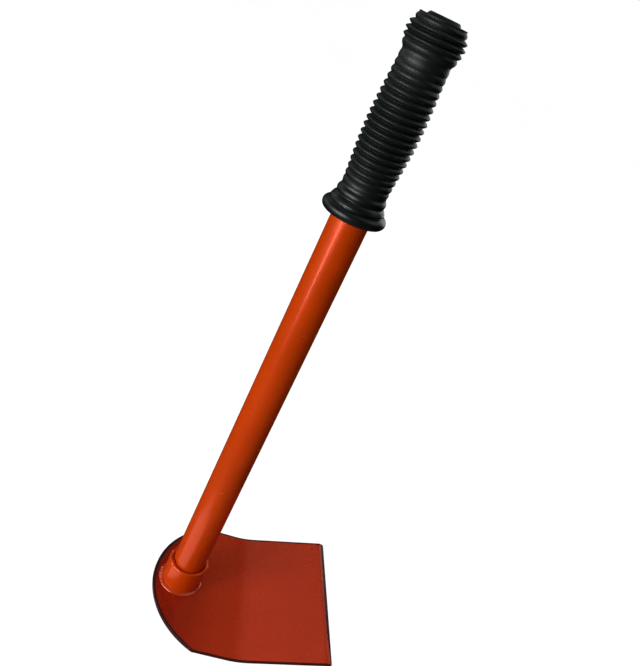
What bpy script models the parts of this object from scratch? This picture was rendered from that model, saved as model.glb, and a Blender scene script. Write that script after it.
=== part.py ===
"""Grub hoe: a D-shaped steel blade, a welded eye collar, a steel tube handle and a ribbed grip.

The frame has +Z up the handle and +X towards the cutting edge. The hoe stands on the flat
underside of the blade's eye, and the origin is the middle of the bottom of its bounding box.
Every length is in metres.
"""
import math

import bmesh
import bpy

# Touching pieces keep this clearance.
GAP = 0.0003

# Handle tube: 1 inch steel tube.
TUBE_OD = 0.0254
TUBE_WALL = 0.0015
TUBE_END_LIFT = 0.0004

# Blade: flat round the eye, then bent up towards the handle.
BLADE_THICKNESS = 0.0025
BLADE_WIDTH = 0.1258
BLADE_REACH = 0.1216        # handle axis to cutting edge
BACK_RADIUS = 0.0705        # rounded back edge
BACK_CENTRE = 0.0481        # centre of that arc, ahead of the handle axis
BEND_START = 0.0431         # where the flat part ends, ahead of the handle axis
BEND_RADIUS = 0.0620        # inner face of the bend
BEND_ANGLE = math.radians(16.35)
CUTTING_BEVEL = 0.0040      # ground length on the upper face
CUTTING_EDGE = 0.0010       # thickness left at the edge
FRONT_CORNER = 0.0018       # plan radius of the two front corners

# Eye collar: short length of 1 1/4 inch pipe on the blade.
COLLAR_OD = 0.03175
COLLAR_BORE = 0.0262
COLLAR_HEIGHT = 0.0223
COLLAR_LIP = 0.0010

# Fillet weld round the foot of the collar.
FILLET_LEG = 0.0026

# Countersunk ring weld that holds the tube in the blade, ground flush underneath.
COUNTERSINK_RADIUS = 0.0155
COUNTERSINK_DEPTH = 0.0016

# Grip: heights above the upper face of the blade, and outer radii.
GRIP_START = 0.3312
GRIP_TOP = 0.4546
GRIP_END_WALL = 0.0035
FLANGE_RADIUS = 0.0213
FLANGE_HEIGHT = 0.0077
NECK_RADIUS = 0.0149
SKIRT_RADIUS = 0.0182
LIP_RADIUS = 0.0162
BODY_START = 0.3500
BODY_RIBS = 19
BODY_PITCH = 0.00424
BODY_END_RADIUS = 0.0150    # rib radius at both ends of the body
BODY_SWELL = 0.0025         # how much larger it is in the middle
WAIST_GAIN = 0.0004         # how much larger the upper end is than the lower one
RIB_DEPTH = 0.0019          # deepest groove
KNOB_START = 0.4338
KNOB_PITCH = 0.00358
KNOB_RIB_RADII = (0.0169, 0.0180, 0.0184, 0.0178, 0.0158)
KNOB_GROOVE_RADIUS = 0.0161
KNOB_LAST_RADIUS = 0.0148
SHOULDER_RADIUS = 0.0145    # last lip, round the raised button
BUTTON_RADIUS = 0.0094
BUTTON_HEIGHT = 0.0022

# The bounding box runs from the back of the blade to the cutting edge.
BACK_X = BACK_CENTRE - BACK_RADIUS
AXIS_X = -(BACK_X + BLADE_REACH) / 2
TOP_Z = BLADE_THICKNESS     # upper face of the flat part of the blade


def make_collection(name):
    """Add a collection to the scene."""
    collection = bpy.data.collections.new(name)
    bpy.context.scene.collection.children.link(collection)
    return collection


def make_material(name, colour, roughness, metallic):
    """Make one plain surface finish."""
    material = bpy.data.materials.new(name)
    material.use_nodes = True
    shader = material.node_tree.nodes["Principled BSDF"]
    shader.inputs["Base Color"].default_value = (*colour, 1.0)
    shader.inputs["Roughness"].default_value = roughness
    shader.inputs["Metallic"].default_value = metallic
    material.diffuse_color = (*colour, 1.0)
    return material


def smooth(mesh, angle=35.0):
    """Shade smooth, with sharp edges above the angle."""
    mesh.shade_smooth()
    mesh.set_sharp_from_angle(angle=math.radians(angle))


def turned(name, profile, closed, steps, collection, material=None):
    """Turn a profile of (radius, height) points about the handle axis with a Screw modifier.

    The points run down the outer side. A closed profile is a ring, and an open one starts
    and ends on the axis.
    """
    mesh = bpy.data.meshes.new(name)
    points = [(r, 0.0, z) for r, z in profile]
    edges = [(i, i + 1) for i in range(len(points) - 1)]
    if closed:
        edges.append((len(points) - 1, 0))
    mesh.from_pydata(points, edges, [])
    obj = bpy.data.objects.new(name, mesh)
    collection.objects.link(obj)
    obj.location = (AXIS_X, 0.0, 0.0)
    screw = obj.modifiers.new("Screw", "SCREW")
    screw.axis = "Z"
    screw.angle = 2 * math.pi
    screw.steps = steps
    screw.render_steps = steps
    screw.use_merge_vertices = True
    screw.merge_threshold = 0.00002
    screw.use_smooth_shade = True
    if material:
        mesh.materials.append(material)
    return obj


def slab(name, outline, thickness, collection, across_y=False):
    """Extrude a flat outline into a solid, centred on its plane, and return it as a mesh.

    The outline lies in XY, or in XZ when it is to be extruded across the width.
    """
    curve = bpy.data.curves.new(name, "CURVE")
    curve.dimensions = "2D"
    curve.fill_mode = "BOTH"
    curve.extrude = thickness / 2
    spline = curve.splines.new("POLY")
    spline.points.add(len(outline) - 1)
    for point, (u, v) in zip(spline.points, outline):
        point.co = (u, v, 0.0, 1.0)
    spline.use_cyclic_u = True
    source = bpy.data.objects.new(name + "_outline", curve)
    bpy.context.scene.collection.objects.link(source)
    if across_y:
        source.rotation_euler = (math.pi / 2, 0.0, 0.0)
    bpy.context.view_layer.update()
    depsgraph = bpy.context.evaluated_depsgraph_get()
    mesh = bpy.data.meshes.new_from_object(source.evaluated_get(depsgraph))
    mesh.name = name
    mesh.transform(source.matrix_world)
    bpy.data.objects.remove(source)
    bm = bmesh.new()
    bm.from_mesh(mesh)
    bmesh.ops.remove_doubles(bm, verts=bm.verts, dist=0.00001)
    bmesh.ops.recalc_face_normals(bm, faces=bm.faces)
    bm.to_mesh(mesh)
    bm.free()
    obj = bpy.data.objects.new(name, mesh)
    collection.objects.link(obj)
    return obj


def as_cutter(obj):
    """Keep a helper shape out of the render."""
    obj.hide_render = True
    obj.display_type = "WIRE"
    return obj


def cut(obj, cutter, operation):
    """Add a Boolean modifier."""
    boolean = obj.modifiers.new(operation.title(), "BOOLEAN")
    boolean.operation = operation
    boolean.solver = "EXACT"
    boolean.object = cutter
    return boolean


def arc(cx, cy, radius, start, end, steps):
    """Points along an arc, angles in radians."""
    return [
        (cx + radius * math.cos(start + (end - start) * i / steps),
         cy + radius * math.sin(start + (end - start) * i / steps))
        for i in range(steps + 1)
    ]


def blade_section():
    """Side section of the blade in XZ, from the handle axis frame."""
    centre_z = TOP_Z + BEND_RADIUS
    start = -math.pi / 2
    top = arc(BEND_START, centre_z, BEND_RADIUS, start, start + BEND_ANGLE, 10)
    bottom = arc(BEND_START, centre_z, BEND_RADIUS + BLADE_THICKNESS,
                 start, start + BEND_ANGLE, 10)
    along = (math.cos(BEND_ANGLE), math.sin(BEND_ANGLE))
    spare = 0.001
    run = (BLADE_REACH - top[-1][0]) / along[0]
    bevel_at = run - CUTTING_BEVEL
    ground = (BLADE_THICKNESS - CUTTING_EDGE) / CUTTING_BEVEL * (CUTTING_BEVEL + spare)
    bevel = (top[-1][0] + along[0] * bevel_at, top[-1][1] + along[1] * bevel_at)
    tip_low = (bottom[-1][0] + along[0] * (run + spare), bottom[-1][1] + along[1] * (run + spare))
    left = BLADE_THICKNESS - ground
    tip_high = (tip_low[0] - along[1] * left, tip_low[1] + along[0] * left)
    back = BACK_X - 0.005
    points = [(back, 0.0)] + bottom + [tip_low, tip_high, bevel] + top[::-1] + [(back, TOP_Z)]
    return [(x + AXIS_X, z) for x, z in points]


def blade_plan():
    """Plan outline: round back, straight sides, small front corners."""
    half = BLADE_WIDTH / 2
    spread = math.asin(half / BACK_RADIUS)
    back = arc(BACK_CENTRE, 0.0, BACK_RADIUS, math.pi - spread, math.pi + spread, 48)
    r = FRONT_CORNER
    low = arc(BLADE_REACH - r, -half + r, r, -math.pi / 2, 0.0, 4)
    high = arc(BLADE_REACH - r, half - r, r, 0.0, math.pi / 2, 4)
    return [(x + AXIS_X, y) for x, y in back + low + high]


def make_blade(collection, cutters, material):
    """Bent plate, cut to the plan outline and bored for the tube."""
    blade = slab("blade", blade_section(), BLADE_WIDTH + 0.02, collection, across_y=True)
    plan = as_cutter(slab("blade_plan", blade_plan(), 0.2, cutters))
    cut(blade, plan, "INTERSECT")
    hole = TUBE_OD / 2 + GAP
    taper = (COUNTERSINK_RADIUS - hole) / COUNTERSINK_DEPTH
    below = -0.002
    profile = [
        (0.0, 0.01),
        (hole, 0.01),
        (hole, COUNTERSINK_DEPTH),
        (COUNTERSINK_RADIUS - below * taper, below),
        (0.0, below),
    ]
    eye = as_cutter(turned("blade_eye", profile, False, 64, cutters))
    cut(blade, eye, "DIFFERENCE")
    blade.data.materials.append(material)
    smooth(blade.data, 25.0)
    return blade


def make_collar(collection, material):
    """Pipe with a rounded lip at both ends of its outside and a bevelled mouth."""
    outer = COLLAR_OD / 2
    bore = COLLAR_BORE / 2
    low = TOP_Z + GAP
    high = TOP_Z + COLLAR_HEIGHT
    lip = arc(outer - COLLAR_LIP, high - COLLAR_LIP, COLLAR_LIP, math.pi / 2, 0.0, 4)
    profile = [(bore + 0.0005, high)] + lip + [(outer, low), (bore, low), (bore, high - 0.0006)]
    return turned("eye_collar", profile, True, 56, collection, material)


def make_fillet(collection, material):
    """Convex weld bead round the foot of the collar."""
    inner = COLLAR_OD / 2 + GAP
    low = TOP_Z + GAP
    steps = 5
    face = []
    for i in range(steps + 1):
        t = i / steps
        crown = 0.0004 * math.sin(math.pi * t)
        face.append((inner + FILLET_LEG * t + crown, low + FILLET_LEG * (1 - t) + crown))
    profile = face + [(inner, low)]
    return turned("collar_weld", profile, True, 56, collection, material)


def make_tube(collection, material):
    """Plain tube from just above the ground to the closed end of the grip."""
    outer = TUBE_OD / 2
    bore = outer - TUBE_WALL
    low = TUBE_END_LIFT
    high = TOP_Z + GRIP_TOP - GRIP_END_WALL - GAP
    profile = [(outer, high), (outer, low), (bore, low), (bore, high)]
    return turned("handle_tube", profile, True, 56, collection, material)


def make_tube_weld(collection, material):
    """Ring weld in the countersink under the blade."""
    inner = TUBE_OD / 2 + GAP
    taper = (COUNTERSINK_RADIUS - inner) / COUNTERSINK_DEPTH
    side = GAP * math.hypot(1.0, taper)
    low = GAP
    outer = COUNTERSINK_RADIUS - taper * low - side
    high = low + (outer - inner) / taper
    profile = [(inner, high), (outer, low), (inner, low)]
    return turned("tube_weld", profile, True, 56, collection, material)


def ribbed(start, pitch, count, radius, depth):
    """Rib tops and groove bottoms, going up; radius and depth are functions of 0 to 1."""
    points = []
    for i in range(count):
        t = (i + 0.5) / count
        z = start + pitch * i
        points.append((radius(i / count) - depth(i / count), z))
        points.append((radius(t), z + 0.5 * pitch))
    points.append((radius(1.0) - depth(1.0), start + pitch * count))
    return points


def grip_outside():
    """Outer profile of the grip, from the foot of its flange to the middle of its end."""
    z = GRIP_START
    h = FLANGE_HEIGHT
    points = [(TUBE_OD / 2 + GAP + 0.0012, z)]
    bead = FLANGE_RADIUS - 0.0040
    for i in range(9):
        a = -math.pi / 2 + math.pi * i / 8
        points.append((bead + 0.0040 * math.cos(a), z + h / 2 + h / 2 * math.sin(a)))
    points += [
        (SKIRT_RADIUS, z + h + 0.0014),
        (0.0160, z + h + 0.0050),
        (LIP_RADIUS, z + h + 0.0064),
        (LIP_RADIUS, z + h + 0.0086),
        (NECK_RADIUS, z + h + 0.0104),
    ]

    def body(t):
        return BODY_END_RADIUS + BODY_SWELL * math.sin(math.pi * t) ** 1.3 + WAIST_GAIN * t ** 4

    def groove(t):
        return 0.0002 + (RIB_DEPTH - 0.0002) * math.sin(math.pi * t) ** 0.8

    points += ribbed(BODY_START, BODY_PITCH, BODY_RIBS, body, groove)
    for i, rib in enumerate(KNOB_RIB_RADII):
        low = KNOB_START + KNOB_PITCH * i
        points += [(KNOB_GROOVE_RADIUS, low), (rib, low + 0.5 * KNOB_PITCH)]
    points.append((KNOB_LAST_RADIUS, KNOB_START + KNOB_PITCH * len(KNOB_RIB_RADII)))
    shoulder = GRIP_TOP - BUTTON_HEIGHT
    points += [
        (SHOULDER_RADIUS, shoulder - 0.0002),
        (SHOULDER_RADIUS - 0.0004, shoulder + 0.0002),
        (BUTTON_RADIUS + 0.0022, shoulder),
        (BUTTON_RADIUS + 0.0009, shoulder + 0.0004),
        (BUTTON_RADIUS, GRIP_TOP - 0.0003),
        (BUTTON_RADIUS - 0.0006, GRIP_TOP),
        (0.0, GRIP_TOP),
    ]
    return [(r, TOP_Z + zz) for r, zz in points]


def make_grip(collection, material):
    """Sleeve with a closed end: outside going down, then the bore going up."""
    bore = TUBE_OD / 2 + GAP
    outside = grip_outside()[::-1]
    foot = TOP_Z + GRIP_START
    end = TOP_Z + GRIP_TOP - GRIP_END_WALL
    profile = outside + [(bore, foot + 0.0006), (bore, end), (0.0, end)]
    return turned("grip", profile, False, 32, collection, material)


def main():
    for obj in list(bpy.data.objects):
        bpy.data.objects.remove(obj)
    parts = make_collection("grub_hoe")
    cutters = make_collection("grub_hoe_cutters")
    make_blade(parts, cutters, make_material("blade_paint", (0.42, 0.045, 0.015), 0.32, 0.0))
    make_collar(parts, make_material("collar_paint", (0.52, 0.075, 0.020), 0.35, 0.0))
    make_fillet(parts, make_material("weld_paint", (0.50, 0.065, 0.020), 0.42, 0.0))
    make_tube(parts, make_material("tube_paint", (0.55, 0.080, 0.018), 0.33, 0.0))
    make_tube_weld(parts, make_material("ground_weld_paint", (0.45, 0.055, 0.018), 0.45, 0.0))
    make_grip(parts, make_material("grip_vinyl", (0.012, 0.014, 0.013), 0.48, 0.0))


main()
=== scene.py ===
"""Looks of the grub hoe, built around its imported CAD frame."""

import math

import bmesh
import bpy
from mathutils import Matrix, Vector, noise


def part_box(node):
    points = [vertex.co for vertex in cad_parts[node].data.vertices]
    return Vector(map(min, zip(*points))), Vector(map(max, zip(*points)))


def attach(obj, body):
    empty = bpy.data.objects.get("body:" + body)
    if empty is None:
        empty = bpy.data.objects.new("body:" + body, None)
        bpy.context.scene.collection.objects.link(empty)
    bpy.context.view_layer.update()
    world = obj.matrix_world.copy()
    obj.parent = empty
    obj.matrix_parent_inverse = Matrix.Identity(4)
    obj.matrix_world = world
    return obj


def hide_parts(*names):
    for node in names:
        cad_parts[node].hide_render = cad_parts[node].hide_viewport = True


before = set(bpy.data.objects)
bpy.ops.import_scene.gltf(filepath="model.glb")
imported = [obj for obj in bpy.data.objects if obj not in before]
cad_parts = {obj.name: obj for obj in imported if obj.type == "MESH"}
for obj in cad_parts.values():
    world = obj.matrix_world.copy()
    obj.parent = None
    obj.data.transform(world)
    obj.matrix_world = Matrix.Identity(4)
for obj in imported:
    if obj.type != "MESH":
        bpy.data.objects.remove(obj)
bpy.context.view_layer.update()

# ---------------------------------------------------------------- sizes read from the frame, in metres
blade_lo, blade_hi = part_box("blade")
tube_lo, tube_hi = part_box("handle_tube")
collar_lo, collar_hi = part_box("eye_collar")
weld_lo, weld_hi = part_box("collar_weld")
ring_lo, ring_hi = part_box("tube_weld")
grip_lo, grip_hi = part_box("grip")

AXIS_X = (tube_lo.x + tube_hi.x) / 2
TUBE_R = (tube_hi.x - tube_lo.x) / 2
COLLAR_R = (collar_hi.x - collar_lo.x) / 2
WELD_R = (weld_hi.x - weld_lo.x) / 2
RING_R = (ring_hi.x - ring_lo.x) / 2
HALF_W = (blade_hi.y - blade_lo.y) / 2
REACH = blade_hi.x - AXIS_X
BACK = blade_lo.x - AXIS_X

# ---------------------------------------------------------------- CAD sizes that no box gives
PLATE_T = 0.0025
TUBE_WALL = 0.0015
# hole for the tube, and the countersink under it
EYE_R = TUBE_R + 0.0003
SINK_R = 0.0155
SINK_Z = 0.0016
# round back, its centre measured from the handle's axis, and the front corners
BACK_R = 0.0705
BACK_C = BACK + BACK_R
FRONT_R = 0.0018
# bend, placed on the flat blank from the handle's axis, and the ground edge at the blank's end
BEND_X = 0.0431
BEND_R = 0.0620
BEND_A = math.radians(16.35)
BEND_END = BEND_X + BEND_R * BEND_A
STRAIGHT = (REACH - BEND_X - (BEND_R + PLATE_T) * math.sin(BEND_A)) / math.cos(BEND_A)
UNROLLED_END = BEND_END + STRAIGHT
BEVEL = 0.0040
BEVEL_START = UNROLLED_END - BEVEL
EDGE_T = 0.0010

QUARTER_TURN = math.pi / 2
SHARP_ANGLE = math.radians(50)


# ---------------------------------------------------------------- shape helpers
def smooth_step(low, high, value):
    """0 to 1 from low to high. It falls instead where low is above high."""
    t = min(1.0, max(0.0, (value - low) / (high - low)))
    return t * t * (3 - 2 * t)


def arc(centre, radius, start, end, steps):
    """Points along an arc, both ends included."""
    points = []
    for i in range(steps + 1):
        a = start + (end - start) * i / steps
        points.append((centre[0] + radius * math.cos(a), centre[1] + radius * math.sin(a)))
    return points


def round_over(points, radius, steps=4):
    """Round the corners of an open (radius, height) polyline."""
    out = [points[0]]
    for before, corner, after in zip(points, points[1:], points[2:]):
        corner = Vector(corner)
        to_before = Vector(before) - corner
        to_after = Vector(after) - corner
        cut = min(radius, to_before.length * 0.45, to_after.length * 0.45)
        start = corner + to_before.normalized() * cut
        end = corner + to_after.normalized() * cut
        for i in range(steps + 1):
            t = i / steps
            out.append(tuple(start * (1 - t) ** 2 + corner * 2 * t * (1 - t) + end * t ** 2))
    out.append(points[-1])
    return out


def noise_round(angle, scale, along, shift=0.0):
    """Noise that has no seam round the handle's axis and changes along it."""
    return noise.noise(Vector((math.cos(angle) * scale + shift, math.sin(angle) * scale, along)))


def facing(angle, degrees):
    """1 at one direction round the handle's axis, down to 0 a quarter turn from it."""
    return max(0.0, math.cos(angle - math.radians(degrees)))


def to_mesh(bm, name):
    """Make a smooth mesh of the faces, with their normals outwards."""
    bmesh.ops.recalc_face_normals(bm, faces=bm.faces)
    mesh = bpy.data.meshes.new(name)
    bm.to_mesh(mesh)
    bm.free()
    mesh.shade_smooth()
    return mesh


def lathe(name, profile, steps, closed, wobble=None):
    """Turn (radius, height) points about the handle's axis. wobble moves each by its angle."""
    on_axis = 1e-7
    bm = bmesh.new()
    rings = []
    for r, z in profile:
        if r < on_axis:
            rings.append([bm.verts.new((AXIS_X, 0.0, z))])
            continue
        ring = []
        for i in range(steps):
            a = 2 * math.pi * i / steps
            radius, height = (r, z) if wobble is None else wobble(r, z, a)
            ring.append(bm.verts.new((AXIS_X + radius * math.cos(a), radius * math.sin(a), height)))
        rings.append(ring)
    pairs = list(zip(rings, rings[1:]))
    if closed:
        pairs.append((rings[-1], rings[0]))
    for up, low in pairs:
        for i in range(steps):
            j = (i + 1) % steps
            if len(up) == 1:
                bm.faces.new((up[0], low[i], low[j]))
            elif len(low) == 1:
                bm.faces.new((up[i], low[0], up[j]))
            else:
                bm.faces.new((up[i], low[i], low[j], up[j]))
    return to_mesh(bm, name)


# ---------------------------------------------------------------- blade, made flat and then bent
def plan_ring(inset):
    """Outline of the flat blank, moved inwards, always with the same number of points."""
    radius = BACK_R - inset
    half = HALF_W - inset
    spread = math.asin(half / radius)
    corner_r = max(0.0, FRONT_R - inset)
    corner_x = UNROLLED_END - inset - corner_r
    corner_y = half - corner_r
    points = arc((BACK_C, 0.0), radius, math.pi - spread, math.pi + spread, 150)
    points += arc((corner_x, -corner_y), corner_r, -QUARTER_TURN, 0.0, 8)
    points += arc((corner_x, corner_y), corner_r, 0.0, QUARTER_TURN, 8)
    return points


def rim_section():
    """How the sheared edge is rounded: (inset, height) from the underside to the top face."""
    low_r, top_r = 0.0003, 0.0004
    roll_width, roll_drop = 0.0020, 0.00006
    shoulder = PLATE_T - roll_drop - top_r
    section = arc((low_r, low_r), low_r, -QUARTER_TURN, -math.pi, 3)
    section += arc((top_r, shoulder), top_r, math.pi, QUARTER_TURN, 5)
    roll_steps = 6
    for i in range(1, roll_steps + 1):
        t = i / roll_steps
        section.append((top_r + (roll_width - top_r) * t, PLATE_T - roll_drop * (1 - t) ** 2.2))
    section += [(0.0036, PLATE_T), (0.0050, PLATE_T)]
    return section


def bridge(bm, rings):
    """Join rings with equal numbers of vertices by quads."""
    for a, b in zip(rings, rings[1:]):
        for i in range(len(a)):
            j = (i + 1) % len(a)
            bm.faces.new((a[i], a[j], b[j], b[i]))


def bend(u, y, z):
    """Move a point of the flat blank to the bent blade. z is 0 underneath, PLATE_T on top."""
    grind = max(0.0, (u - BEVEL_START) / BEVEL)
    z *= 1 - grind * (1 - EDGE_T / PLATE_T)
    if u <= BEND_X:
        return u, y, z
    turn = min((u - BEND_X) / BEND_R, BEND_A)
    beyond = max(0.0, u - BEND_END)
    depth = BEND_R + PLATE_T - z
    x = BEND_X + depth * math.sin(turn) + beyond * math.cos(turn)
    height = PLATE_T + BEND_R - depth * math.cos(turn) + beyond * math.sin(turn)
    return x, y, height


def edge_distance(u, y):
    """How far inside the outline a point of the flat blank lies."""
    far = 1.0
    from_back = BACK_R - math.hypot(u - BACK_C, y) if u < BACK_C else far
    return max(0.0, min(HALF_W - abs(y), UNROLLED_END - u, from_back))


def rim_shade_and_thinner_paint(u, y, z):
    """0 to 1: how dark the plate is painted along the rim's sides and top and at the ground edge, as
    painted shade with thinner paint.
    """
    most_ground, underside = 0.16, 0.00005
    ground = most_ground * smooth_step(BEVEL_START - 0.0012, BEVEL_START + 0.0006, u)
    if z <= underside:
        return ground
    # the painted dark band is widest along the far side of the back and narrowest along the near side
    at_back = smooth_step(-0.020, 0.015, y) * smooth_step(0.035, 0.0, u)
    near_side = smooth_step(0.5 * HALF_W, HALF_W, -y) * smooth_step(0.005, 0.022, u)
    at_front = smooth_step(UNROLLED_END - 0.006, UNROLLED_END - 0.003, u) * (1.0 - near_side)
    usual, more_at_back, more_at_front, less_at_near_side = 0.0024, 0.0010, 0.0004, 0.0014
    band = usual + more_at_back * at_back + more_at_front * at_front - less_at_near_side * near_side
    lip = 1.0 - smooth_step(band * 0.45, band, edge_distance(u, y))
    return max(lip, ground)


def back_painted_shade(u, y):
    """0 to 1: painted shade, a deeper red towards the round back and beside the collar on its near side.
    """
    from_back = BACK_R - math.hypot(u - BACK_C, y)
    toward_back = smooth_step(0.030, 0.006, from_back) * smooth_step(0.012, -0.004, u)
    by_collar = smooth_step(0.038, -0.004, u) * smooth_step(0.004, -0.014, y)
    most_by_collar = 0.75
    return max(toward_back, most_by_collar * by_collar)


def cut_places():
    """Where the flat blank is cut across, closest together along the bend."""
    step, clear, bend_cuts = 0.004, 0.001, 20
    behind = [BACK + step * i for i in range(1, 16)]
    ahead = [BEND_END + step * i for i in range(1, 20)]
    places = [u for u in behind if u < BEND_X - clear]
    places += [BEND_X + BEND_R * BEND_A * i / bend_cuts for i in range(bend_cuts + 1)]
    places += [u for u in ahead if u < BEVEL_START - clear]
    places.append(BEVEL_START)
    return places


def set_attribute(mesh, name, values):
    layer = mesh.attributes.new(name, "FLOAT", "POINT")
    layer.data.foreach_set("value", values)


def make_blade_mesh():
    """Plate with a rolled rim, a countersunk eye, a bend, a ground edge and a slight waviness."""
    bm = bmesh.new()

    def add_ring(points, z):
        return [bm.verts.new((x, y, z)) for x, y in points]

    def slice_at(point, normal):
        bmesh.ops.bisect_plane(bm, geom=bm.verts[:] + bm.edges[:] + bm.faces[:], dist=1e-7,
                               plane_co=point, plane_no=normal)

    bridge(bm, [add_ring(plan_ring(inset), z) for inset, z in rim_section()])
    eye_sides = 96
    eye = [(SINK_R, 0.0), (EYE_R + 0.0001, SINK_Z), (EYE_R, SINK_Z + 0.0002), (EYE_R, PLATE_T)]
    eye_rings = []
    for r, z in eye:
        circle = arc((0.0, 0.0), r, 0.0, 2 * math.pi, eye_sides)[:-1]
        eye_rings.append(add_ring(circle, z))
    bridge(bm, eye_rings[::-1])

    bmesh.ops.remove_doubles(bm, verts=bm.verts, dist=1e-6)
    open_edges = [e for e in bm.edges if len(e.link_faces) == 1]
    for on_top in (False, True):
        around = [e for e in open_edges if (e.verts[0].co.z > PLATE_T / 2) == on_top]
        bmesh.ops.triangle_fill(bm, use_beauty=True, use_dissolve=False, edges=around)

    for u in cut_places():
        slice_at((u, 0, 0), (1, 0, 0))
    cut_width, side_cuts = 0.0043, 14
    for i in range(-side_cuts, side_cuts + 1):
        slice_at((0, i * cut_width, 0), (0, 1, 0))
    bmesh.ops.remove_doubles(bm, verts=bm.verts, dist=2e-6)

    # painted shade for each point: along the rim, and towards the back and beside the collar
    rim_shade, shade_at_points = [], []
    wave_height, wave_scale, wave_fade, flat_underside = 0.00006, 28, 0.01, 0.0004
    for v in bm.verts:
        u, y, z = v.co
        rim_shade.append(rim_shade_and_thinner_paint(u, y, z))
        shade_at_points.append(back_painted_shade(u, y))
        fade = min(1.0, edge_distance(u, y) / wave_fade)
        x, y, z = bend(u, y, z)
        if z > flat_underside:
            z += wave_height * fade * noise.noise(Vector((x * wave_scale, y * wave_scale, 3.1)))
        v.co = (AXIS_X + x, y, z)
    mesh = to_mesh(bm, "blade_plate")
    set_attribute(mesh, "rim_shade_and_thinner_paint", rim_shade)
    set_attribute(mesh, "back_painted_shade", shade_at_points)
    mesh.set_sharp_from_angle(angle=SHARP_ANGLE)
    return mesh


# ---------------------------------------------------------------- tube, collar and welds
def make_tube_mesh():
    """Tube with its end edges broken."""
    inner = TUBE_R - TUBE_WALL
    top, low = tube_hi.z, tube_lo.z
    spans = 40
    outside = [(TUBE_R, top - 0.0006)]
    outside += [(TUBE_R, top - (top - low) * i / spans) for i in range(1, spans)]
    outside += [(TUBE_R, low + 0.0005), (TUBE_R - 0.0002, low + 0.0001), (TUBE_R - 0.0005, low)]
    inside = [(inner + 0.0003, low), (inner, low + 0.0003), (inner, top), (TUBE_R - 0.0004, top)]
    mesh = lathe("handle_pipe", outside + inside, 128, True)
    mesh.set_sharp_from_angle(angle=SHARP_ANGLE)
    return mesh


def make_collar_mesh():
    """Collar with a rounded rim. Paint and weld spatter stand on one side of it and on its rim."""
    bore = TUBE_R + 0.0004
    top, low = collar_hi.z, collar_lo.z
    rim_r, spans = 0.0013, 11
    rim_low = top - rim_r
    points = [(bore + 0.0009, top)]
    points += arc((COLLAR_R - rim_r, rim_low), rim_r, QUARTER_TURN, 0.0, 8)
    points += [(COLLAR_R, rim_low - (rim_low - low) * i / spans) for i in range(1, spans + 1)]
    points += [(bore, low), (bore, top - 0.0012), (bore + 0.0003, top - 0.0004)]
    bore_skin = bore + 0.001
    dent, lump_height, ragged_height = 0.00006, 0.0006, 0.0020
    drop_height, drop_outwards, drop_inwards = 0.0013, 0.0005, 0.0003

    def wobble(r, z, a):
        rough_side = facing(a, 165) ** 2
        at_rim = smooth_step(top - 0.0022, top - 0.0004, z)
        drop = facing(a, 205) ** 50
        ragged = rough_side * max(0.0, noise_round(a, scale=9, along=5.5))
        raised = z + at_rim * (drop_height * drop + ragged_height * ragged)
        if r < bore_skin:
            return r - drop_inwards * at_rim * min(1.0, drop + ragged), raised
        lump = lump_height * rough_side * max(0.0, noise_round(a, scale=8, along=z * 450))
        uneven = dent * noise_round(a, scale=2.2, along=z * 60) - dent
        return r + uneven + lump + drop_outwards * at_rim * drop, raised

    mesh = lathe("eye_socket", points, 128, True, wobble)
    mesh.set_sharp_from_angle(angle=SHARP_ANGLE)
    return mesh


def make_bead_mesh():
    """Weld bead: a sloping face with a rounded toe, the ripples of a hand-laid pass, and spatter."""
    inner = COLLAR_R + 0.0001
    low = PLATE_T + 0.00005
    toe_r = 0.0008
    toe_x = WELD_R - toe_r - 0.0006
    toe_z = low + 0.00044
    slope, undercut = math.radians(55), math.radians(33)
    meet_x = toe_x + toe_r * math.cos(slope)
    meet_z = toe_z + toe_r * math.sin(slope)
    wall_z = meet_z + (meet_x - inner) / math.tan(slope)
    points = []
    for i in range(8):
        t = i / 8
        points.append((inner + (meet_x - inner) * t, wall_z + (meet_z - wall_z) * t))
    points += arc((toe_x, toe_z), toe_r, slope, -undercut, 12)
    points += [(toe_x, low - 0.00002), (inner, low)]
    leg = toe_x + toe_r - inner
    against_collar, foot = 0.03, low + 0.00001
    uneven_size, thin_side = 0.08, 0.62
    lap_length, lap_height, lap_curve, lap_wander = 0.0017, 0.00005, 0.35, 0.6
    lump_height = 0.0007

    def wobble(r, z, a):
        t = (r - inner) / leg
        if t < against_collar:
            return r, z
        size = 1.0 + uneven_size * noise_round(a, scale=2.1, along=7.7) - thin_side * facing(a, -25)
        drift = lap_curve * math.sin(math.pi * t) + lap_wander * noise_round(a, scale=3, along=4.0)
        lap = (a * inner / lap_length + drift) % 1.0
        lump = lump_height * facing(a, 155) ** 2 * max(0.0, noise_round(a, scale=11, along=z * 500))
        ripple = lap_height * math.sin(math.pi * lap) * min(1.0, 3 * t) + lump
        lift = 0.0 if z < foot else (z - low) * (size - 1.0) + ripple
        return inner + (r - inner) * size + ripple, z + lift

    return lathe("collar_bead", points, 480, True, wobble)


def make_ring_weld_mesh():
    """Weld that fills the countersink under the blade, ground flush."""
    inner = TUBE_R + 0.0001
    low, high = ring_lo.z, ring_hi.z
    points = [(inner, high), (inner + 0.0006, high - 0.0004), (RING_R + 0.0003, low + 0.0002),
              (RING_R - 0.0001, low), (inner + 0.0005, low), (inner, low + 0.0001)]
    dent, against_tube = 0.00015, inner + 0.001

    def wobble(r, z, a):
        if r < against_tube:
            return r, z
        return r + dent * noise_round(a, scale=6, along=2.5), z

    return lathe("blade_ring_weld", points, 180, True, wobble)


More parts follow.
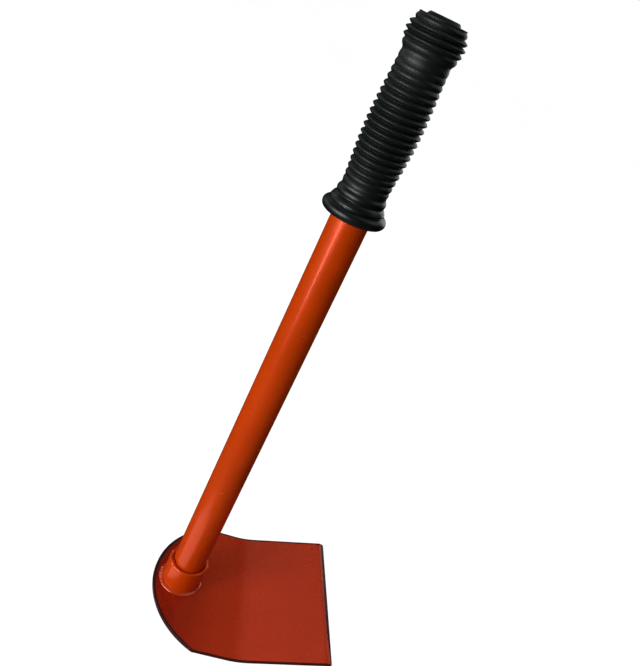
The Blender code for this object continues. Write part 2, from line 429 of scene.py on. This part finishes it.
# ---------------------------------------------------------------- grip
GRIP_FOOT = grip_lo.z
RIBS_START = GRIP_FOOT + 0.0188
RIB_PITCH = 0.00424
RIB_COUNT = 19
KNOB_START = GRIP_FOOT + 0.1026
KNOB_PITCH = 0.00358
KNOB_RIBS = (0.0169, 0.0180, 0.0184, 0.0178, 0.0158)
KNOB_GROOVES = (0.0163, 0.0162, 0.0161, 0.0158, 0.0151, 0.0146)
RIB_STEPS = (-0.95, -0.82, -0.62, -0.40, -0.18, 0.0, 0.18, 0.40, 0.62, 0.82, 0.95, 1.0)
RIB_ROUNDING = 1.6


def body_radius(t):
    """Radius over the ribs, with t from 0 at the flange to 1 at the waist."""
    at_ends, swelling, widening = 0.0151, 0.0025, 0.0004
    return at_ends + swelling * math.sin(math.pi * t) ** 1.3 + widening * t ** 4


def groove_depth(t):
    """Depth between the ribs, deepest where the grip is thickest."""
    at_ends, deepening = 0.0003, 0.0023
    sharpness = 0.8 if t < 0.5 else 1.3
    return at_ends + deepening * math.sin(math.pi * t) ** sharpness


def body_ribs():
    """Round-topped ribs with narrow grooves, going up."""
    points = []
    for i in range(RIB_COUNT):
        for t in RIB_STEPS:
            place = (i + 0.5 + t / 2) / RIB_COUNT
            drop = groove_depth(place) * abs(t) ** RIB_ROUNDING
            points.append((body_radius(place) - drop, RIBS_START + RIB_PITCH * RIB_COUNT * place))
    return points


def knob_ribs():
    """The larger ribs at the end of the grip, each with its own radius, going up."""
    points = []
    for i, rib in enumerate(KNOB_RIBS):
        for t in RIB_STEPS:
            groove = KNOB_GROOVES[i] if t < 0 else KNOB_GROOVES[i + 1]
            drop = (rib - groove) * abs(t) ** RIB_ROUNDING
            points.append((rib - drop, KNOB_START + KNOB_PITCH * (i + 0.5 + t / 2)))
    return points


def flange():
    """Rolled hand flange, and the skirt, lip and neck above it, going up."""
    roll_x, roll_r, height = 0.0173, 0.0040, 0.0077
    points = [(TUBE_R + 0.0006, GRIP_FOOT + 0.0004), (TUBE_R + 0.0016, GRIP_FOOT)]
    for x, z in arc((0.0, 0.0), 1.0, -QUARTER_TURN, QUARTER_TURN, 18):
        points.append((roll_x + roll_r * x, GRIP_FOOT + height / 2 * (1 + z)))
    above = [(0.0181, 0.0001), (0.0182, 0.0014), (0.0171, 0.0036), (0.0158, 0.0048), (0.0160, 0.0056),
             (0.0164, 0.0069), (0.0161, 0.0085), (0.0149, 0.0102), (0.0149, 0.0109)]
    points += round_over([(r, GRIP_FOOT + height + z) for r, z in above], 0.0006)[1:]
    return points


def closed_end():
    """End of the knob: a shallow groove round a raised boss, going inwards to the axis."""
    below_top = [(0.0146, 0.0026), (0.0149, 0.0021), (0.0141, 0.0018), (0.0120, 0.0023), (0.0104, 0.0020),
                 (0.0096, 0.0006), (0.0088, 0.0), (0.0060, 0.0002), (0.0, 0.0004)]
    return round_over([(r, grip_hi.z - z) for r, z in below_top], 0.0004)


def make_grip_mesh():
    """Moulded sleeve with its bore and its closed end, slightly uneven outside."""
    outside = flange() + body_ribs()
    waist = [(0.0151, -0.0026), (0.0152, -0.0016), (0.0161, -0.0002), (0.0163, 0.0)]
    waist = [(r, KNOB_START + z) for r, z in waist]
    outside += round_over([outside[-1]] + waist, 0.0006)[1:-1]
    outside += knob_ribs() + closed_end()
    bore = TUBE_R + 0.0002
    bore_end = grip_hi.z - 0.0034
    inside = [(bore, GRIP_FOOT + 0.0008), (bore, GRIP_FOOT + 0.02), (bore, bore_end), (0.0, bore_end)]
    bore_skin = bore + 0.0002
    dent, tilt = 0.00006, 0.00010

    def wobble(r, z, a):
        if r < bore_skin:
            return r, z
        uneven = dent * noise_round(a, scale=1.7, along=z * 160) - dent
        return r + uneven, z + tilt * noise_round(a, scale=3.0, along=z * 300, shift=9)

    return lathe("grip_sleeve", outside[::-1] + inside, 144, False, wobble)


# ---------------------------------------------------------------- material helpers
class Nodes:
    """Small wrapper that makes node trees short to write."""

    def __init__(self, name):
        self.material = bpy.data.materials.new(name)
        self.material.use_nodes = True
        self.tree = self.material.node_tree
        self.shader = self.tree.nodes["Principled BSDF"]
        self.coords = self.tree.nodes.new("ShaderNodeTexCoord").outputs["Object"]

    def link(self, a, b):
        self.tree.links.new(a, b)

    def feed(self, socket, value):
        """Link a socket to a socket, or set a number or a colour on it."""
        if isinstance(value, bpy.types.NodeSocket):
            self.link(value, socket)
        elif isinstance(value, tuple):
            socket.default_value = (*value, 1.0)
        else:
            socket.default_value = value

    def noise(self, scale, detail=2.0, roughness=0.5):
        node = self.tree.nodes.new("ShaderNodeTexNoise")
        node.inputs["Scale"].default_value = scale
        node.inputs["Detail"].default_value = detail
        node.inputs["Roughness"].default_value = roughness
        self.link(self.coords, node.inputs["Vector"])
        return node.outputs["Fac"]

    def height(self):
        node = self.tree.nodes.new("ShaderNodeSeparateXYZ")
        self.link(self.coords, node.inputs["Vector"])
        return node.outputs["Z"]

    def attribute(self, name):
        node = self.tree.nodes.new("ShaderNodeAttribute")
        node.attribute_name = name
        return node.outputs["Fac"]

    def ramp(self, value, low, high, start=0.0, end=1.0):
        """Map low..high of a value to start..end, clamped and smooth."""
        node = self.tree.nodes.new("ShaderNodeMapRange")
        node.interpolation_type = "SMOOTHSTEP"
        node.inputs["From Min"].default_value = low
        node.inputs["From Max"].default_value = high
        node.inputs["To Min"].default_value = start
        node.inputs["To Max"].default_value = end
        self.link(value, node.inputs["Value"])
        return node.outputs["Result"]

    def calculate(self, operation, a, b):
        node = self.tree.nodes.new("ShaderNodeMath")
        node.operation = operation
        self.feed(node.inputs[0], a)
        self.feed(node.inputs[1], b)
        return node.outputs[0]

    def plus(self, a, b):
        return self.calculate("ADD", a, b)

    def times(self, a, b):
        return self.calculate("MULTIPLY", a, b)

    def mix(self, factor, a, b):
        """Blend from colour a at factor 0 to colour b at factor 1."""
        node = self.tree.nodes.new("ShaderNodeMix")
        node.data_type = "RGBA"
        self.feed(node.inputs["Factor"], factor)
        colour_a, colour_b = [s for s in node.inputs if s.type == "RGBA"]
        self.feed(colour_a, a)
        self.feed(colour_b, b)
        return [s for s in node.outputs if s.type == "RGBA"][0]

    def bump(self, height, distance, strength, normal=None):
        node = self.tree.nodes.new("ShaderNodeBump")
        node.inputs["Distance"].default_value = distance
        node.inputs["Strength"].default_value = strength
        self.link(height, node.inputs["Height"])
        if normal:
            self.link(normal, node.inputs["Normal"])
        return node.outputs["Normal"]

    def set(self, name, value):
        self.feed(self.shader.inputs[name], value)


# ---------------------------------------------------------------- materials
# colour of the painted shade on the plate
SHADE_RED = (0.23, 0.012, 0.004)
# colour of the painted shade and thinner paint along the rim
RIM_SHADE_DARK = (0.024, 0.002, 0.002)


def paint(name, colour, deep, plate=False, coat=0.14, coat_rough=0.10, shine=0.25):
    """Sprayed enamel: orange peel, mottled colour and specks. On the plate, painted shade deepens the red
    towards the back and beside the collar, and along the rim it is dull and darkened by painted shade and
    thinner paint."""
    most_mottle, most_speck, most_painted_shade, most_rim_shade = 0.6, 0.15, 0.92, 0.96
    glossy, smeared, dulled = 0.21, 0.10, 0.45
    nodes = Nodes(name)
    mottle = nodes.ramp(nodes.noise(scale=26, detail=4.0, roughness=0.6), low=0.35, high=0.7)
    base = nodes.mix(nodes.times(mottle, most_mottle), colour, deep)
    specks = nodes.ramp(nodes.noise(scale=900, detail=1.0), low=0.74, high=0.80)
    base = nodes.mix(nodes.times(specks, most_speck), base, deep)
    smear = nodes.noise(scale=60, detail=3.0, roughness=0.6)
    roughness = nodes.plus(nodes.times(smear, smeared), glossy)
    if plate:
        # painted shade: deeper red towards the round back and beside the collar on its near side
        base = nodes.mix(nodes.times(nodes.attribute("back_painted_shade"), most_painted_shade), base, SHADE_RED)
        # painted shade along the rim and its sheared sides, with thinner, duller paint there
        ragged = nodes.times(nodes.noise(scale=240), 0.5)
        rim_shade = nodes.ramp(nodes.plus(nodes.attribute("rim_shade_and_thinner_paint"), ragged), low=0.25, high=1.05)
        base = nodes.mix(nodes.times(rim_shade, most_rim_shade), base, RIM_SHADE_DARK)
        roughness = nodes.plus(roughness, nodes.times(rim_shade, dulled))
    nodes.set("Base Color", base)
    nodes.set("Roughness", roughness)
    nodes.set("Metallic", 0.25)
    nodes.set("Specular IOR Level", shine)
    nodes.set("Coat Weight", coat)
    nodes.set("Coat Roughness", coat_rough)
    peel = nodes.bump(nodes.noise(scale=330, detail=1.0), distance=0.00018, strength=0.06)
    nodes.set("Normal", nodes.bump(nodes.noise(scale=45), distance=0.0004, strength=0.10, normal=peel))
    return nodes.material


def grip_vinyl():
    """Moulded PVC: almost black, satin, with a fine moulded grain and a little pale dust.
    The flange is smoother than the rest."""
    most_dust, satin, grained = 0.10, 0.42, 0.16
    nodes = Nodes("grip_vinyl_black")
    cloud = nodes.ramp(nodes.noise(scale=70, detail=4.0, roughness=0.6), low=0.3, high=0.75)
    base = nodes.mix(cloud, (0.0016, 0.0034, 0.0032), (0.0032, 0.0057, 0.0054))
    dust = nodes.ramp(nodes.noise(scale=1400, detail=1.0), low=0.68, high=0.78)
    base = nodes.mix(nodes.times(dust, most_dust), base, (0.06, 0.06, 0.057))
    grain = nodes.plus(nodes.times(nodes.noise(scale=240, detail=3.0), grained), satin)
    flange_top, fade_end = GRIP_FOOT + 0.0113, GRIP_FOOT + 0.0243
    smoother_flange = nodes.ramp(nodes.height(), low=flange_top, high=fade_end, start=-0.12, end=0.0)
    nodes.set("Base Color", base)
    nodes.set("Roughness", nodes.plus(grain, smoother_flange))
    nodes.set("Metallic", 0.0)
    nodes.set("Specular IOR Level", 0.40)
    fine = nodes.bump(nodes.noise(scale=2600), distance=0.00006, strength=0.25)
    coarse = nodes.noise(scale=180, detail=3.0)
    nodes.set("Normal", nodes.bump(coarse, distance=0.0003, strength=0.12, normal=fine))
    return nodes.material


# ---------------------------------------------------------------- pieces
def add_piece(mesh, node, material):
    """Link a piece, ride it on the one body and let it stand for its CAD node."""
    obj = bpy.data.objects.new(mesh.name, mesh)
    bpy.context.scene.collection.objects.link(obj)
    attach(obj, "root")
    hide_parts(node)
    mesh.materials.append(material)


TUBE_PAINT = paint("enamel_tube", (0.55, 0.047, 0.0012), (0.48, 0.040, 0.0012))
BLADE_PAINT = paint("enamel_blade", (0.50, 0.036, 0.0075), (0.43, 0.031, 0.0075), plate=True)
WELD_PAINT = paint("enamel_weld", (0.53, 0.046, 0.003), (0.44, 0.038, 0.003), coat=1.0, coat_rough=0.18,
                   shine=0.5)
GRIP_VINYL = grip_vinyl()

add_piece(make_blade_mesh(), "blade", BLADE_PAINT)
add_piece(make_tube_mesh(), "handle_tube", TUBE_PAINT)
add_piece(make_collar_mesh(), "eye_collar", TUBE_PAINT)
add_piece(make_bead_mesh(), "collar_weld", WELD_PAINT)
add_piece(make_ring_weld_mesh(), "tube_weld", WELD_PAINT)
add_piece(make_grip_mesh(), "grip", GRIP_VINYL)


# ---------------------------------------------------------------- stage, light and camera
def make_floor():
    """Pale floor that reads as white by itself. The bounce lamp gives the light it would throw up."""
    radius, gap = 40.0, 0.0004
    mesh = bpy.data.meshes.new("floor")
    bm = bmesh.new()
    bmesh.ops.create_circle(bm, cap_ends=True, radius=radius, segments=96)
    bm.to_mesh(mesh)
    bm.free()
    floor = bpy.data.objects.new("floor", mesh)
    floor.location = (0, 0, -gap)
    bpy.context.scene.collection.objects.link(floor)
    nodes = Nodes("floor_pale")
    cloud = nodes.ramp(nodes.noise(scale=3), low=0.3, high=0.7)
    nodes.set("Base Color", nodes.mix(cloud, (0.10, 0.10, 0.10), (0.11, 0.11, 0.11)))
    nodes.set("Emission Color", nodes.mix(cloud, (0.992, 0.992, 0.992), (1.0, 1.0, 1.0)))
    nodes.set("Emission Strength", 1.0)
    nodes.set("Roughness", 0.8)
    nodes.set("Specular IOR Level", 0.0)
    mesh.materials.append(nodes.material)
    floor.visible_glossy = False
    floor.visible_diffuse = False
    floor.visible_shadow = False


def make_world():
    """White behind everything, which gives no light of its own to the object."""
    world = bpy.data.worlds.new("studio")
    bpy.context.scene.world = world
    world.use_nodes = True
    back = world.node_tree.nodes["Background"]
    back.inputs["Color"].default_value = (1.0, 1.0, 1.0, 1.0)
    back.inputs["Strength"].default_value = 1.0
    world.cycles_visibility.diffuse = False
    world.cycles_visibility.glossy = False


MIDDLE = (AXIS_X, 0.0, 0.20)
ABOVE_CARD = (AXIS_X - 0.060, -0.052, 0.03)


def area(name, watts, size, azimuth, elevation, distance, target=MIDDLE, glossy=True):
    """Softbox at a direction from its target. Azimuth is from +X towards +Y, in degrees."""
    data = bpy.data.lights.new(name, "AREA")
    data.shape = "RECTANGLE"
    data.size, data.size_y = size
    data.energy = watts
    light = bpy.data.objects.new(name, data)
    az = math.radians(azimuth)
    el = math.radians(elevation)
    way = Vector((math.cos(az) * math.cos(el), math.sin(az) * math.cos(el), math.sin(el)))
    light.location = Vector(target) + way * distance
    light.rotation_euler = way.to_track_quat("Z", "Y").to_euler()
    light.visible_camera = False
    light.visible_glossy = glossy
    bpy.context.scene.collection.objects.link(light)


def make_lights():
    """Large soft lamps. The key makes the long highlight on the tube, with the narrow strip in it."""
    area("key", watts=14.2, size=(1.1, 0.45), azimuth=-143, elevation=4, distance=1.2)
    area("strip", watts=0.85, size=(0.08, 0.50), azimuth=-139.5, elevation=6, distance=0.60)
    area("left", watts=1.5, size=(0.7, 0.7), azimuth=178, elevation=5, distance=1.4)
    area("overhead", watts=2.5, size=(1.4, 1.4), azimuth=0, elevation=89, distance=1.7)
    area("overhead_fill", watts=15.0, size=(1.4, 1.4), azimuth=0, elevation=89, distance=1.7, glossy=False)
    area("back_high", watts=1.0, size=(1.0, 1.0), azimuth=110, elevation=45, distance=1.7)
    area("back_left", watts=2.1, size=(1.0, 1.0), azimuth=140, elevation=15, distance=1.7)
    area("back_right", watts=5.6, size=(1.0, 1.0), azimuth=50, elevation=15, distance=1.7)
    area("right_high", watts=2.7, size=(1.0, 1.0), azimuth=0, elevation=45, distance=1.7)
    area("bounce", watts=20.0, size=(2.0, 2.0), azimuth=0, elevation=-89, distance=0.9, glossy=False)
    # this one lies on the floor beside the blade, like a small reflector, and faces up
    area("foot_card", watts=0.023, size=(0.09, 0.09), azimuth=0, elevation=-89, distance=0.03,
         target=ABOVE_CARD)


def make_camera():
    """Camera placed by its eye and by the directions that run right and down in the picture."""
    eye = Vector((AXIS_X - 0.09697, -0.42365, PLATE_T + 0.45060))
    right = Vector((0.9156, -0.0513, 0.3987)).normalized()
    down = Vector((0.3290, -0.4744, -0.8165))
    down = (down - right * down.dot(right)).normalized()
    ahead = right.cross(down)
    data = bpy.data.cameras.new("camera")
    data.sensor_width = 36.0
    data.lens = 38.919
    data.clip_start = 0.01
    camera = bpy.data.objects.new("camera", data)
    turned = Matrix((right, -down, -ahead)).transposed()
    camera.matrix_world = Matrix.Translation(eye) @ turned.to_4x4()
    bpy.context.scene.collection.objects.link(camera)
    bpy.context.scene.camera = camera


make_floor()
make_world()
make_lights()
make_camera()
bpy.context.scene.view_settings.view_transform = "Standard"
